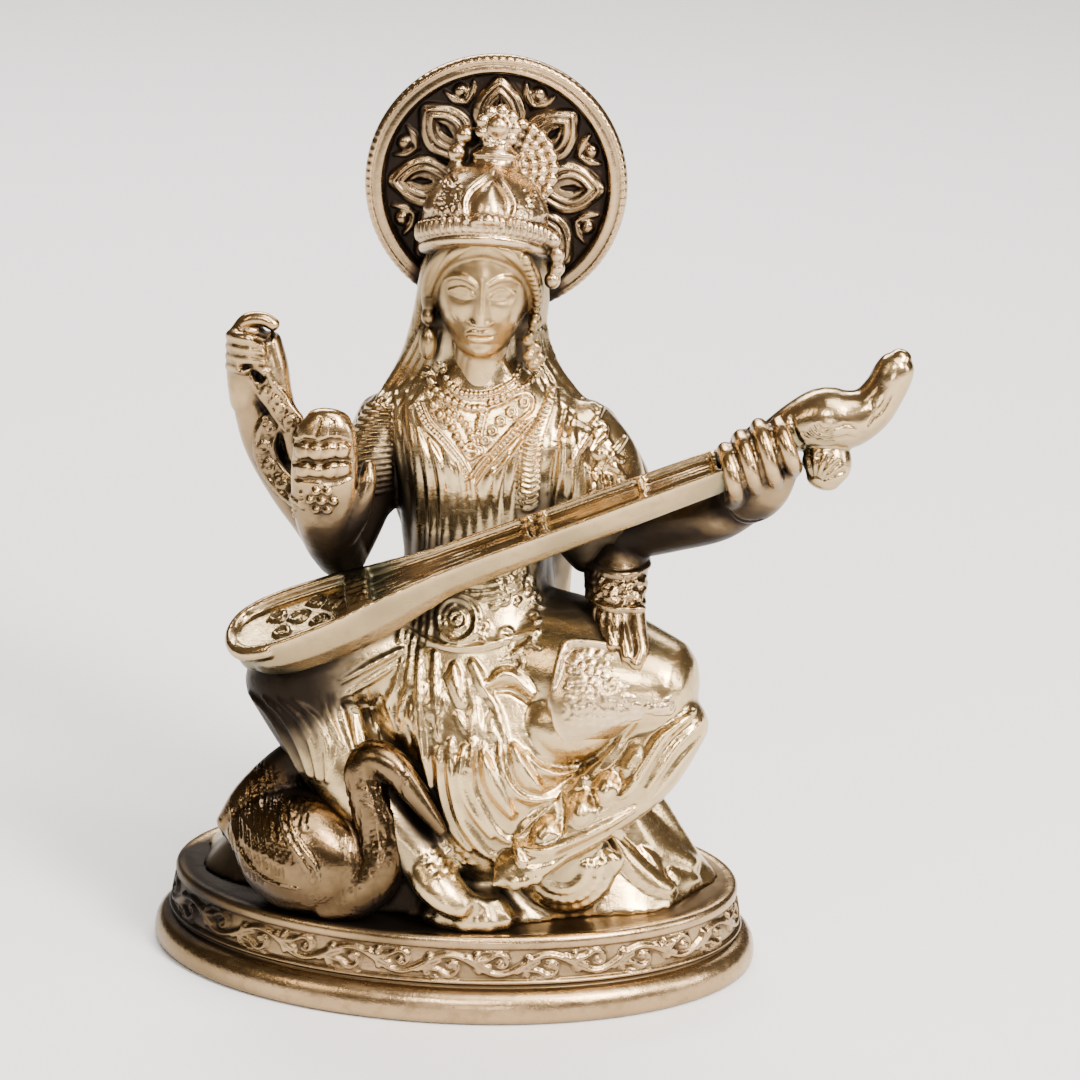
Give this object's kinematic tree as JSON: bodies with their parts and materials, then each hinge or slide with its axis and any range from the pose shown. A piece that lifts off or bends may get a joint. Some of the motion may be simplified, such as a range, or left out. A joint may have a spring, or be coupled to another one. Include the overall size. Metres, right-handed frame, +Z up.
{
  "type": "seated saraswati figurine",
  "caption": "Small cast brass figurine of a crowned four-armed goddess seated with a long-necked veena, book, rosary and swan before a round halo, on an oval plinth.",
  "frame": {"origin": "centre of the flat oval underside of the plinth", "axes": "+Z up, the figure faces -Y, +X to the viewer's right, towards the head of the veena"},
  "size_m": [0.0985, 0.05, 0.1242],
  "materials": {
    "brass": "polished cast brass, pale gold on the high parts, brown to black in the recesses, greenish yellow in the belly and skirt folds"
  },
  "bodies": {
    "root": {"saraswati_figure": "brass"}
  },
  "joints": []
}
